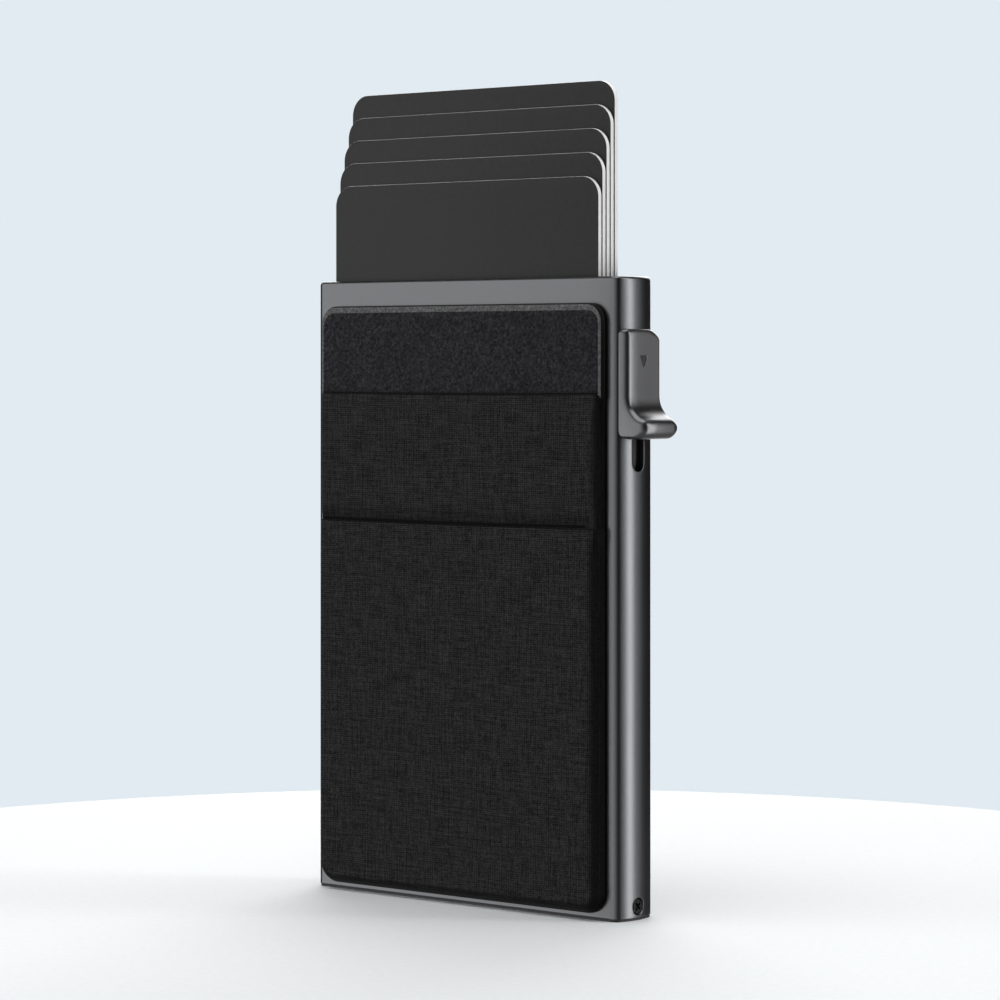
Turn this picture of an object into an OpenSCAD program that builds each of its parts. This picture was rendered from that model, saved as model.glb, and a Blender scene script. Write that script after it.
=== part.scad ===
// Pop-up card wallet: an extruded aluminium case, five cards fanned in steps,
// a sprung thumb slide that swings a stack of lift fingers under the cards,
// and a stretch-fabric pocket pad on the front.
// Frame: X across the width, Y from front to back, Z up, origin at the middle
// of the case's foot. Millimetres.

/* [Case] */
// Overall width of the extruded case
case_w = 62.6; // [58:0.2:80]
// Height of the case, without the fanned cards
case_h = 97.3; // [96:0.2:125]
// Thickness of the case, front face to back face
case_t = 9; // [8.9:0.1:12]
// Wall thickness of the extrusion
wall = 0.85; // [0.7:0.05:0.9]
// How far each curved side stands out past the flat faces
side_bulge = 1.85; // [1.75:0.05:2.2]
// Radius where a flat face turns into the curved side
edge_r = 1.3; // [1.2:0.05:1.5]

/* [Cards] */
// Number of cards in the stack
card_n = 5; // [2:1:5]
// Width of a card
card_w = 53.98; // [50:0.02:54]
// Height of a card
card_h = 85.6; // [78:0.1:86]
// Thickness of a card
card_t = 0.76; // [0.5:0.02:0.8]
// Corner radius of a card
card_r = 3.18; // [2:0.02:5]
// Distance from one card's face to the next
card_pitch = 1; // [0.95:0.01:1.05]
// How far the front card stands out of the case when fanned
fan_first = 15.3; // [12:0.1:18]
// How much further each card behind it stands out
fan_step = 3.7; // [2:0.1:4]

/* [Thumb slide] */
// Height of the thumb slide
slide_h = 16.6; // [14:0.1:20]
// Width of the thumb slide across the case's edge
slide_w = 8.2; // [6:0.1:8.4]
// Distance from the case's top down to the thumb slide's top
slide_drop = 8; // [6:0.1:14]
// How far the flat thumb pad stands off the case's edge
pad_stand = 1; // [0.8:0.05:1.5]
// How far the ledge stands out past the thumb pad
ledge_reach = 3.7; // [2.5:0.1:5]
// Thickness of the rounded ledge
ledge_t = 3.3; // [2.4:0.1:4]
// Width of the slot in the case
slot_w = 2.8; // [2.4:0.1:3.2]
// Length of slot left open below the thumb slide
slot_below = 4.9; // [4.5:0.1:7]

/* [Lift mechanism] */
// Swing of the lift fingers, in degrees
swing = 50; // [40:1:55]
// Distance from the finger pivot to the drive pin
crank_r = 9; // [8.6:0.1:9.2]
// Angle of the drive pin above the level at rest, in degrees
crank_a = 38; // [32:1:40]
// Thickness of one stamped finger
finger_t = 0.8; // [0.5:0.05:0.85]
// Half-width of a finger at its tip
finger_tip = 1.3; // [0.8:0.1:1.5]
// Radius of a finger's eye around the pivot
finger_eye = 2.4; // [2:0.1:2.6]
// Diameter of the pivot pin
pivot_d = 1.6; // [1.2:0.1:2]
// Diameter of the drive pin
drive_d = 1.4; // [1:0.1:1.5]

/* [Pocket pad] */
// Width of the pad on the front face
pad_w = 57.6; // [50:0.2:58]
// Gap between the pad and the top of the case
pad_top = 4; // [3:0.1:8]
// Gap between the pad and the foot of the case
pad_foot = 1.2; // [0.8:0.1:4]
// Corner radius of the pad
pad_r = 3; // [1.5:0.1:6]
// Thickness of the adhesive sheet
glue_t = 0.15; // [0.1:0.05:0.4]
// Thickness of the faced base board
board_t = 0.9; // [0.5:0.05:1.5]
// Thickness of each layer of stretch fabric
cloth_t = 0.5; // [0.3:0.05:0.8]
// Height of the inner pocket's mouth below the case's top
inner_mouth = 18.1; // [12:0.1:30]
// Height of the outer pocket's mouth below the case's top
outer_mouth = 38.1; // [32:0.1:60]

/* [Hidden] */
$fn = 64;
eps = 0.05;                       // overshoot of a cut past the face it opens
slip = 0.08;                      // gap between a fixed piece and the wall it lines
run = 0.15;                       // gap between a moving piece and what it passes
pin_fit = 0.03;                   // radial gap of a pin in its hole

// ---- case section: flat faces, four corner arcs and two shallow side arcs
flat_x = case_w/2 - side_bulge;   // where the flat face ends
bore_t = case_t/2 - wall;         // half depth of the inside
edge_x = case_w/2;                // crown of the curved side
bore_x = edge_x - wall;           // crown of the inside
function side_arc(out) =          // radius of the side arc, grown by out
    (pow(side_bulge, 2) + pow(case_t/2 - edge_r, 2) - pow(edge_r, 2))
    / (2*(side_bulge - edge_r)) + out;
side_mid = edge_x - side_arc(0);  // centre of the right side arc
function bore_at(y) =             // inside face of the right side at depth y
    side_mid + sqrt(pow(side_arc(-wall), 2) - y*y);

// ---- bottom cap
lip_t = 0.3;                      // flange that shows under the case
floor_z = 1.5;
cheek = 0.47;                     // front and back walls of the tray
screw_z = 2.05;                   // height of the two cap screws
block_z = 3.7;                    // top of the right screw block
block_len = 3.6;                  // length of a screw block along X
cap_x = bore_x - 0.45;            // inside of the cap's thin end walls above the blocks
screw_core = 0.5;
screw_top = 1.08;                 // radius of the countersunk head
screw_sink = 1.325;               // radius of the countersink at the surface
screw_deep = 0.12;                // how far the head sits below the surface
screw_head = 0.55;
screw_len = 4.2;

// ---- cards, counted from the front
rail_gap = 0.25;                  // gap from a card's edge to the rail
rail_web = 0.65;                  // web of the right rail
channel_w = 4.35;                 // room for the slide mechanism beside the cards
card_x1 = bore_x - channel_w - rail_gap;
card_x = card_x1 - card_w/2;      // middle of the cards
card_y = -bore_t + 0.75;          // front face of the front card
hide = 0.6;                       // a stored card's top below the case's top
function card_face(i) = card_y + i*card_pitch;
function card_foot(i) = case_h + fan_first + i*fan_step - card_h;
stored_foot = case_h - hide - card_h;
stack_back = card_face(card_n - 1) + card_t;
tray_z = stored_foot - 0.7;       // rim of the mechanism tray

// ---- lift fingers: all swing as one stack on the pivot pin
pivot_z = stored_foot - 3.5;
touch = 0.25;                     // gap left under a fanned card with the fingers up
function finger_len(i) =
    (card_foot(i) - touch - finger_tip - pivot_z)/sin(swing);
function finger_y(i) = card_face(i) + (card_t - finger_t)/2;
rivet_r = 0.6;
rivet_at = 9;                     // rivet's distance from the pivot
waist = 0.94;                     // straight part of a link, against its round ends

// ---- crank behind the fingers, and the drive pin it carries
crank_t = 0.8;
crank_y = finger_y(card_n - 1) + card_pitch;
crank_end = 1.05;
drive_max = bore_at(crank_y + crank_t) - crank_end - run;   // furthest out the drive pin goes
pivot_x = drive_max - crank_r;
pin_x = pivot_x + crank_r*cos(crank_a);
pin_z = pivot_z + crank_r*sin(crank_a);
travel = crank_r*(sin(crank_a) + sin(swing - crank_a));

// ---- thumb slide and what it carries
slide_z1 = case_h - slide_drop;
slide_z0 = slide_z1 - slide_h;
pad_x = edge_x + pad_stand;
slot_z0 = slide_z0 - slot_below;
stem_w = slot_w - 2*run;
stem_h = 7;
stem_z0 = slot_z0 + travel + 0.35;
slot_z1 = stem_z0 + stem_h + 0.2;
flare_r = 3.1;
carriage_x0 = edge_x - 4.3;
carriage_w = 4;
carriage_x1 = bore_at(carriage_w/2) - 0.1;
stem_in = carriage_x1 + 0.02;     // inner end of the stem, on the carriage
carriage_h = 11.2;
carriage_z0 = stem_z0 - 2.1;
flap_t = 0.6;
flap_z0 = slot_z0 - 1.2;
carriage_screw_gap = 3.6;
arrow_down = 4;                   // from the slide's top to the arrow's flat end
arrow_len = 1.9;
arrow_half = 0.8;
arrow_deep = 0.15;
carriage_head = 1;
carriage_head_t = 0.6;
carriage_core = 0.45;
rod_t = 1;
rod_y = crank_y - rod_t - run;    // the rod runs just in front of the crank
rod_x0 = carriage_x0 + 0.6;
rod_w = 2.2;
rod_grip = 6;                     // how far the rod reaches up into the carriage
yoke_half = drive_d/2 + 0.25 + 0.9;
yoke_x0 = pin_x - 0.5;
yoke_w = cap_x - 0.1 - yoke_x0;
yoke_y0 = rod_y - 1.5;

// ---- return spring
spring_x = carriage_x0 + 1.4;
spring_y = -bore_t + 2.1;
spring_r = 0.85;
spring_wire = 0.13;
spring_turns = 12;
spring_len = 17.5;
seat_t = 1.5;
seat_z = carriage_z0 - spring_len;
spring_sides = 6;
spring_rings = 14;                // rings in each turn

// ---- rails and felt
rail_top = case_h - 5;
rail_foot = pin_z + 4;            // above the crank's sweep
rail_flange = 0.5;
felt_w = 8;
felt_x = [card_x - 16, card_x + 12];
felt_gap = 0.1;
felt_z0 = 42;

// ---- pocket pad
pad_z0 = pad_foot;
pad_z1 = case_h - pad_top;
glue_y = -case_t/2;
board_y = glue_y - glue_t;
inner_y = board_y - board_t;
outer_y = inner_y - cloth_t;
glue_in = 0.7;                    // adhesive stops short of the pad's edge
cloth_in = 0.3;

// The case's section, grown by out all round (negative shrinks it)
module section(out) {
    corner_y = case_t/2 - edge_r;
    spread = atan(corner_y/(side_arc(0) - side_bulge));
    reach = 2*side_arc(0);
    square([2*flat_x, case_t + 2*out], center = true);
    for (side = [-1, 1]) {
        for (end = [-1, 1]) {
            translate([side*flat_x, end*corner_y]) circle(edge_r + out);
        }
        translate([side*side_mid, 0]) intersection() {
            circle(side_arc(out));
            polygon([[0, 0],
                [side*reach*cos(spread), -reach*sin(spread)],
                [side*reach*cos(spread), reach*sin(spread)]]);
        }
    }
}

// A bar with round ends: eye of radius r1 at the origin, r2 at length len along -X.
// The straight part is a little narrower than the round ends, as a stamped link's is.
module bar_outline(r1, r2, len) {
    circle(r1);
    translate([-len, 0]) circle(r2);
    polygon([[0, waist*r1], [-len, waist*r2], [-len, -waist*r2], [0, -waist*r1]]);
}

// Stands an outline drawn in X and Z up at depth y, t thick towards the back
module upright(y, t) {
    translate([0, y + t, 0]) rotate([90, 0, 0]) linear_extrude(t) children();
}

// A pin along Y at x, z
module pin_y(x, z, r, y0, y1) {
    translate([x, y1, z]) rotate([90, 0, 0]) cylinder(r = r, h = y1 - y0);
}

// A pin along +X that starts at x
module pin_x(x, y, z, r, len) {
    translate([x, y, z]) rotate([0, 90, 0]) cylinder(r = r, h = len);
}

// Slot along Z with round ends, cut through the right side
module slot_cutter(w, z0, z1, x0, x1) {
    translate([x0, -w/2, z0 + w/2]) cube([x1 - x0, w, z1 - z0 - w]);
    pin_x(x0, 0, z0 + w/2, w/2, x1 - x0);
    pin_x(x0, 0, z1 - w/2, w/2, x1 - x0);
}

// Rectangle w by h with corner radius r, standing on z = 0 and centred on x = 0
module round_rect(w, h, r) {
    translate([-w/2 + r, 0]) square([w - 2*r, h]);
    translate([-w/2, r]) square([w, h - 2*r]);
    for (x = [-w/2 + r, w/2 - r], z = [r, h - r]) {
        translate([x, z]) circle(r);
    }
}

// Countersink for a cap screw on the right side; mirror it for the left
module screw_sink_cutter() {
    translate([edge_x - wall, 0, screw_z]) rotate([0, 90, 0])
        cylinder(r1 = screw_sink - 0.62, r2 = screw_sink, h = wall);
    pin_x(edge_x - wall - eps, 0, screw_z, screw_sink - 0.62, wall);
    pin_x(edge_x - eps, 0, screw_z, screw_sink, 1);
}

module case() {
    color("dimgray") difference() {
        translate([0, 0, lip_t]) linear_extrude(case_h - lip_t) difference() {
            section(0);
            section(-wall);
        }
        slot_cutter(slot_w, slot_z0, slot_z1, bore_x - 1, edge_x + 1);
        screw_sink_cutter();
        mirror([1, 0, 0]) screw_sink_cutter();
    }
}

module bottom_cap() {
    tray_x1 = edge_x - wall - block_len;
    tray_x0 = -tray_x1;
    pocket_y = bore_t - slip - cheek;
    color("#1c1c1e") difference() {
        union() {
            linear_extrude(lip_t) section(-0.12);
            linear_extrude(tray_z) section(-wall - slip);
        }
        translate([tray_x0, -pocket_y, floor_z]) cube([tray_x1 - tray_x0, 2*pocket_y, tray_z]);
        translate([tray_x1 - eps, -pocket_y, block_z]) 
            cube([cap_x - tray_x1 + eps, 2*pocket_y, tray_z]);
        for (side = [-1, 1]) {
            translate([side*(bore_x - slip + eps), 0, screw_z]) rotate([0, -side*90, 0])
                cylinder(r = screw_core + pin_fit, h = block_len + 1);
        }
        pin_y(pivot_x, pivot_z, pivot_d/2 + pin_fit, -bore_t, bore_t);
    }
}

// Countersunk cap screw for the right side
module cap_screw() {
    color("#2a2a2c") difference() {
        union() {
            translate([edge_x - screw_deep - screw_head, 0, screw_z]) rotate([0, 90, 0])
                cylinder(r1 = screw_core, r2 = screw_top, h = screw_head);
            pin_x(edge_x - screw_deep - screw_len, 0, screw_z, screw_core, screw_len - screw_head + eps);
        }
        for (turn = [0, 90]) {
            translate([edge_x - screw_deep, 0, screw_z]) rotate([turn, 0, 0])
                cube([0.6, 1.3, 0.3], center = true);
        }
    }
}

module cap_screw_left() mirror([1, 0, 0]) cap_screw();
module cap_screw_right() cap_screw();

module left_rail() {
    x1 = card_x - card_w/2 - rail_gap;
    color("#1c1c1e") translate([0, 0, tray_z]) linear_extrude(rail_top - tray_z) intersection() {
        section(-wall - slip);
        translate([-case_w, -case_t]) square([case_w + x1, 2*case_t]);
    }
}

// Web beside the cards, a flange on the front wall, and the spring's seat
module right_rail() {
    x0 = card_x1 + rail_gap;
    y1 = bore_t - slip;
    color("#1c1c1e") union() {
        translate([x0, -y1, rail_foot]) cube([rail_web, 2*y1, rail_top - rail_foot]);
        translate([x0, -y1, tray_z]) cube([rail_web, rail_flange, rail_foot - tray_z + eps]);
        translate([x0, -y1, tray_z]) cube([3, rail_flange, rail_top - tray_z]);
        translate([x0, -y1, seat_z - seat_t]) cube([spring_x + spring_r - x0, y1 - 0.4, seat_t]);
    }
}

module felt_strips() {
    y0 = stack_back + felt_gap;
    color("#3a3a3d") for (x = felt_x) {
        translate([x, y0, felt_z0]) cube([felt_w, bore_t - y0, rail_top - felt_z0]);
    }
}

module pivot_pin() {
    color("silver") pin_y(pivot_x, pivot_z, pivot_d/2, -bore_t + slip, bore_t - slip);
}

// Finger i: a stamped strip whose tip reaches just under its own card's foot
module finger(i) {
    color("lightsteelblue") difference() {
        upright(finger_y(i), finger_t) translate([pivot_x, pivot_z])
            bar_outline(finger_eye, finger_tip, finger_len(i));
        pin_y(pivot_x, pivot_z, pivot_d/2 + pin_fit, -case_t, case_t);
        pin_y(pivot_x - rivet_at, pivot_z, rivet_r + pin_fit, -case_t, case_t);
    }
}

// Washers that hold the fingers one card pitch apart, on the pivot and the rivet
module finger_washers() {
    gap_t = card_pitch - finger_t;
    color("silver") for (i = [1:card_n]) {
        y0 = finger_y(i) - gap_t;
        for (seat = [[pivot_x, pivot_d/2, 1.9], [pivot_x - rivet_at, rivet_r, 1.1]]) {
            difference() {
                pin_y(seat[0], pivot_z, seat[2], y0 + 0.01, y0 + gap_t - 0.01);
                pin_y(seat[0], pivot_z, seat[1] + pin_fit, y0 - 1, y0 + 1);
            }
        }
    }
}

module crank_plate() {
    color("lightsteelblue") difference() {
        upright(crank_y, crank_t) translate([pivot_x, pivot_z]) union() {
            rotate(180 + crank_a) bar_outline(finger_eye, crank_end, crank_r);
            bar_outline(finger_eye, crank_end, rivet_at);
        }
        pin_y(pivot_x, pivot_z, pivot_d/2 + pin_fit, -case_t, case_t);
        pin_y(pivot_x - rivet_at, pivot_z, rivet_r + pin_fit, -case_t, case_t);
        pin_y(pin_x, pin_z, drive_d/2 - 0.1 + pin_fit, -case_t, case_t);
    }
}

module arm_rivet() {
    color("silver") pin_y(pivot_x - rivet_at, pivot_z, rivet_r, finger_y(0), crank_y + crank_t);
}

// Shouldered pin: the thin end is riveted in the crank, the thick end rides in the yoke
module drive_pin() {
    color("silver") union() {
        pin_y(pin_x, pin_z, drive_d/2, rod_y - 0.1, crank_y - 0.01);
        pin_y(pin_x, pin_z, drive_d/2 - 0.1, crank_y - 0.02, crank_y + crank_t);
    }
}

// Side outline of the thumb slide in X and Z
module slide_outline() {
    ledge_c = [pad_x + ledge_reach - ledge_t/2, slide_z0 + ledge_t/2];
    translate([flat_x - 1, slide_z0]) square([pad_x - flat_x + 1, slide_h]);
    translate([pad_x - eps, slide_z0]) square([ledge_c[0] - pad_x + eps, ledge_t]);
    translate(ledge_c) circle(ledge_t/2);
    difference() {
        translate([pad_x - eps, slide_z0 + ledge_t - eps])
            square([ledge_reach - ledge_t/2, flare_r]);
        translate([pad_x + flare_r, slide_z0 + ledge_t + flare_r]) circle(flare_r);
    }
}

module thumb_slide() {
    arrow = [[arrow_len, 0], [0, -arrow_half], [0, arrow_half]];
    color("#5b5b5e") difference() {
        union() {
            difference() {
                upright(-slide_w/2, slide_w) slide_outline();
                translate([0, 0, slide_z0 - 1]) linear_extrude(slide_h + 2) section(run);
            }
            slot_cutter(stem_w, stem_z0, stem_z0 + stem_h, stem_in, edge_x + pad_stand/2);
        }
        translate([pad_x - arrow_deep, 0, slide_z1 - arrow_down])
            rotate([0, 90, 0]) linear_extrude(1) polygon(arrow);
        for (z = carriage_screw_z()) {
            pin_x(stem_in - eps, 0, z, carriage_core + pin_fit, 1.75);
        }
    }
}

function carriage_screw_z() =
    [for (side = [-1, 1]) stem_z0 + stem_h/2 + side*carriage_screw_gap/2];

// Block inside the case, with a thin flap below it that keeps dust out of the slot
module slide_carriage() {
    color("#1c1c1e") difference() {
        union() {
            translate([carriage_x0, -carriage_w/2, carriage_z0])
                cube([carriage_x1 - carriage_x0, carriage_w, carriage_h]);
            translate([carriage_x1 - flap_t, -carriage_w/2, flap_z0])
                cube([flap_t, carriage_w, carriage_z0 - flap_z0 + eps]);
        }
        translate([rod_x0 - 0.05, rod_y - 0.03, flap_z0 - eps])
            cube([rod_w + 0.1, carriage_w, carriage_z0 - flap_z0 + rod_grip + 0.1]);
        for (z = carriage_screw_z()) {
            pin_x(carriage_x0 - eps, 0, z, carriage_core + pin_fit, 4);
            pin_x(carriage_x0 - eps, 0, z, carriage_head + 0.05, carriage_head_t + 0.1);
        }
    }
}

module carriage_screws() {
    head_x = carriage_x0 + 0.06;
    color("silver") for (z = carriage_screw_z()) {
        pin_x(head_x, 0, z, carriage_head, carriage_head_t - 0.02);
        pin_x(head_x, 0, z, carriage_core, stem_in + 1.6 - head_x);
    }
}

// Flat rod from the carriage down to a grooved block that holds the drive pin
module drive_rod() {
    yoke_z0 = pin_z - yoke_half;
    groove = drive_d + 0.5;
    color("lightsteelblue") difference() {
        union() {
            translate([rod_x0, rod_y, pin_z]) cube([rod_w, rod_t, carriage_z0 + rod_grip - pin_z]);
            translate([yoke_x0, yoke_y0, yoke_z0]) cube([yoke_w, rod_y + rod_t - yoke_y0, 2*yoke_half]);
        }
        translate([yoke_x0 - 1, rod_y - 0.3, pin_z - groove/2]) cube([yoke_w + 2, 3, groove]);
    }
}

// Coil spring as one swept tube: ring k is a small polygon round a point of the helix
function helix(k) = let (turn = k*360/spring_rings)
    [spring_r*cos(turn), spring_r*sin(turn),
        spring_wire + k*(spring_len - 2*spring_wire - 0.04)/(spring_turns*spring_rings) + 0.02];

module return_spring() {
    rings = spring_turns*spring_rings;
    m = spring_sides;
    points = [for (k = [0:rings], s = [0:m - 1])
        let (turn = k*360/spring_rings, a = s*360/m, c = helix(k))
        c + spring_wire*[cos(a)*cos(turn), cos(a)*sin(turn), sin(a)]];
    skin = [for (k = [0:rings - 1], s = [0:m - 1])
        let (a = k*m + s, b = k*m + (s + 1)%m)
        each [[a, b, b + m], [a, b + m, a + m]]];
    ends = [[for (s = [m - 1:-1:0]) s], [for (s = [0:m - 1]) rings*m + s]];
    color("silver") translate([spring_x, spring_y, seat_z])
        polyhedron(points = points, faces = concat(skin, ends), convexity = 10);
}

module card(i) {
    color("#2e2e30") translate([card_x, 0, card_foot(i)])
        upright(card_face(i), card_t) round_rect(card_w, card_h, card_r);
}

// A flat layer of the pad: top at z1, t thick, pulled in from the pad's edge
module pad_layer(y, t, inset, z1) {
    translate([0, 0, pad_z0 + inset]) upright(y - t, t) intersection() {
        round_rect(pad_w - 2*inset, pad_z1 - pad_z0 - 2*inset, pad_r - inset);
        translate([-pad_w, 0]) square([2*pad_w, z1 - pad_z0 - inset]);
    }
}

module adhesive_sheet() color("#8a8a8a") pad_layer(glue_y, glue_t, glue_in, pad_z1);
module pad_board() color("#242428") pad_layer(board_y, board_t, 0, pad_z1 + 1);
module inner_pocket() color("#1a1a1a") pad_layer(inner_y, cloth_t, cloth_in, case_h - inner_mouth);
module outer_pocket() color("#202020") pad_layer(outer_y, cloth_t, cloth_in, case_h - outer_mouth);

case();
bottom_cap();
cap_screw_left();
cap_screw_right();
left_rail();
right_rail();
felt_strips();
pivot_pin();
finger(0);  // finger_1
finger(1);  // finger_2
finger(2);  // finger_3
finger(3);  // finger_4
finger(4);  // finger_5
finger_washers();
crank_plate();
arm_rivet();
drive_pin();
thumb_slide();
slide_carriage();
carriage_screws();
drive_rod();
return_spring();
card(0);  // card_1
card(1);  // card_2
card(2);  // card_3
card(3);  // card_4
card(4);  // card_5
adhesive_sheet();
pad_board();
inner_pocket();
outer_pocket();
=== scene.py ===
# %% [markdown]
# # A pop-up card wallet
#
# The wallet is a flat aluminium tube with five cards fanned out of its top, a thumb slide on
# its right edge and a pocket pad of stretch fabric on its front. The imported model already
# holds every part where it belongs, so this script only gives each one its looks. A shape is
# a function of two parameters on a grid, worked out with numpy as whole arrays.

# %% Load the frame
import math

import bmesh
import bpy
import numpy as np
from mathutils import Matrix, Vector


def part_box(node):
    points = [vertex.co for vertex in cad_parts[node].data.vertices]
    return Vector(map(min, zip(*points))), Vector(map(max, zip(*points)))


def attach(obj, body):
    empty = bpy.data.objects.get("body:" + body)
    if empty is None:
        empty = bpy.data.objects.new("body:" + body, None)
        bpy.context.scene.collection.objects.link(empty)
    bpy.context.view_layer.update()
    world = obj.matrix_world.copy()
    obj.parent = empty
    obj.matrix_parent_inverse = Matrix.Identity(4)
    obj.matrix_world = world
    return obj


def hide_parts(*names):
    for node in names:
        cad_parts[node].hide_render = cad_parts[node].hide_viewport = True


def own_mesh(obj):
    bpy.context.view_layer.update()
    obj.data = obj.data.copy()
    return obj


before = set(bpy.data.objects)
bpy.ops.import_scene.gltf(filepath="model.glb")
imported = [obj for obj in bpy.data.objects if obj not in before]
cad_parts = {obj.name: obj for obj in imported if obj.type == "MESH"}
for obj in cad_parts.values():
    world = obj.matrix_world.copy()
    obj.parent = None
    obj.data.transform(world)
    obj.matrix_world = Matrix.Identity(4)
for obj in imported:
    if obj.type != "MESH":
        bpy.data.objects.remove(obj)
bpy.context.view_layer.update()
MM = 0.001
TAU = 2 * math.pi

# %% [markdown]
# ## Where things are
#
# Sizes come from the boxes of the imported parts, in millimetres here because a wallet is a
# small thing. Only what a box can't tell, such as a radius, is written as a number.

# %% Sizes of the case, read from its box
def box_mm(node):
    """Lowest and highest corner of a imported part, in millimetres."""
    low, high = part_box(node)
    return np.array(low) / MM, np.array(high) / MM


case_low, case_high = box_mm("case")
case_w = case_high[0] - case_low[0]
case_t = case_high[1] - case_low[1]
case_top = case_high[2]
case_foot = case_low[2]
wall = 0.85
side_bulge = 1.85
edge_r = 1.3
flat_x = case_w / 2 - side_bulge
corner_y = case_t / 2 - edge_r
side_r = (side_bulge**2 + corner_y**2 - edge_r**2) / (2 * (side_bulge - edge_r))
side_mid = case_w / 2 - side_r
print(f"case {case_w:.1f} x {case_t:.1f} x {case_top:.1f} mm")

# %% [markdown]
# ## The camera
#
# A product view, level with the thumb slide: the lens is long, so the sides stay nearly
# parallel, and the sensor is shifted instead of tilting the camera, so upright edges stay
# upright.

# %% Camera
view_turn = math.radians(40)
view_distance = 559.9
view_height = 83.39
aim_x = 3.94
lens_mm = 129.17
shift_down = -0.1317

camera_data = bpy.data.cameras.new("camera")
camera_data.sensor_width = 36
camera_data.lens = lens_mm
camera_data.shift_y = shift_down
camera_data.clip_start = 0.01
camera = bpy.data.objects.new("camera", camera_data)
camera.location = (
    (aim_x + view_distance * math.sin(view_turn)) * MM,
    -view_distance * math.cos(view_turn) * MM,
    view_height * MM,
)
camera.rotation_euler = (math.pi / 2, 0, view_turn)
bpy.context.collection.objects.link(camera)
bpy.context.scene.camera = camera
print(f"camera {view_distance:.0f} mm away with a {lens_mm:.0f} mm lens")

# %% [markdown]
# ## From arrays to a mesh
#
# Every new piece is built the same way: an array of points in millimetres, a list of faces
# that index it, then doubles merged and the faces turned outwards. The object itself stays at
# the origin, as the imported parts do.

# %% Mesh helpers
def grid_faces(rows, cols, wrap_rows=False, wrap_cols=False):
    """Quads of a rows x cols grid whose point (r, c) has the number r*cols + c."""
    r = np.arange(rows if wrap_rows else rows - 1)
    c = np.arange(cols if wrap_cols else cols - 1)
    r, c = np.meshgrid(r, c, indexing="ij")
    r1, c1 = (r + 1) % rows, (c + 1) % cols
    quads = np.stack([r * cols + c, r * cols + c1, r1 * cols + c1, r1 * cols + c], -1)
    return quads.reshape(-1, 4)


def end_caps(rows, cols):
    """The first and the last row of a rows x cols tube as one face each."""
    return [list(range(cols)), list(range((rows - 1) * cols, rows * cols))]


def rectangle_rim(y_cells, z_cells):
    """y and z of the points round a rectangle of cells, from its foot anticlockwise."""
    inner = z_cells[1:-1]
    wide, tall = len(y_cells), len(inner)
    y = [y_cells, np.full(tall, y_cells[-1]), y_cells[::-1], np.full(tall, y_cells[0])]
    z = [np.full(wide, z_cells[0]), inner, np.full(wide, z_cells[-1]), inner[::-1]]
    return np.concatenate(y), np.concatenate(z)


def join_parts(parts):
    """One point array and one face list from several (points, faces) pairs."""
    points, faces, base = [], [], 0
    for part_points, part_faces in parts:
        part_points = np.asarray(part_points, float).reshape(-1, 3)
        points.append(part_points)
        faces += [[int(i) + base for i in face] for face in part_faces]
        base += len(part_points)
    return np.concatenate(points), faces


def make_piece(name, points, faces, body, material, sharp=35, closed=True):
    """A mesh object from points in millimetres, riding on a body and finished with a material."""
    mesh = bpy.data.meshes.new(name)
    points = np.asarray(points).reshape(-1, 3) * MM
    mesh.from_pydata(points.tolist(), [], [list(map(int, face)) for face in faces])
    work = bmesh.new()
    work.from_mesh(mesh)
    bmesh.ops.remove_doubles(work, verts=work.verts, dist=2e-6)
    bmesh.ops.dissolve_degenerate(work, edges=work.edges, dist=1e-7)
    if closed:
        bmesh.ops.recalc_face_normals(work, faces=work.faces)
    work.to_mesh(mesh)
    work.free()
    mesh.shade_smooth()
    mesh.set_sharp_from_angle(angle=math.radians(sharp))
    mesh.materials.append(material)
    piece = bpy.data.objects.new(name, mesh)
    bpy.context.collection.objects.link(piece)
    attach(piece, body)
    open_edges = (faces_per_edge(mesh) == 1).sum()
    print(f"{name}: {len(mesh.polygons)} faces, {open_edges} open edges")
    return piece


def faces_per_edge(mesh):
    """How many faces meet at each edge of a mesh."""
    loops = np.zeros(len(mesh.loops), np.int64)
    mesh.loops.foreach_get("edge_index", loops)
    return np.bincount(loops, minlength=len(mesh.edges))


def arc(start, end, count):
    """count + 1 angles in radians from start to end degrees."""
    return np.radians(np.linspace(start, end, count + 1))


print("a 3 x 4 grid has", len(grid_faces(3, 4)), "faces")

# %% [markdown]
# ## Materials
#
# A finish is a small network: a colour that varies a little, a roughness that varies with it
# and a bump at the scale of the real grain. All patterns read Object coordinates, which are
# metres here, so a scale of 1000 means one feature a millimetre.

# %% Node helpers
def new_material(name, **constants):
    """A material with its shader, the node tree and Object coordinates; constants go on sockets."""
    material = bpy.data.materials.new(name)
    material.use_nodes = True
    tree = material.node_tree
    shader = tree.nodes["Principled BSDF"]
    for socket, value in constants.items():
        shader.inputs[socket.replace("_", " ")].default_value = value
    place = tree.nodes.new("ShaderNodeTexCoord").outputs["Object"]
    print("material", name)
    return material, tree, shader, place


def coordinate(tree, kind, axis):
    """One axis of a texture coordinate, such as the X of Object."""
    split = tree.nodes.new("ShaderNodeSeparateXYZ")
    tree.links.new(tree.nodes.new("ShaderNodeTexCoord").outputs[kind], split.inputs["Vector"])
    return split.outputs[axis]


def stretched(tree, place, stretch):
    """Object coordinates multiplied by a different factor on each axis."""
    mapping = tree.nodes.new("ShaderNodeMapping")
    mapping.inputs["Scale"].default_value = stretch
    tree.links.new(place, mapping.inputs["Vector"])
    return mapping.outputs["Vector"]


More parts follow.
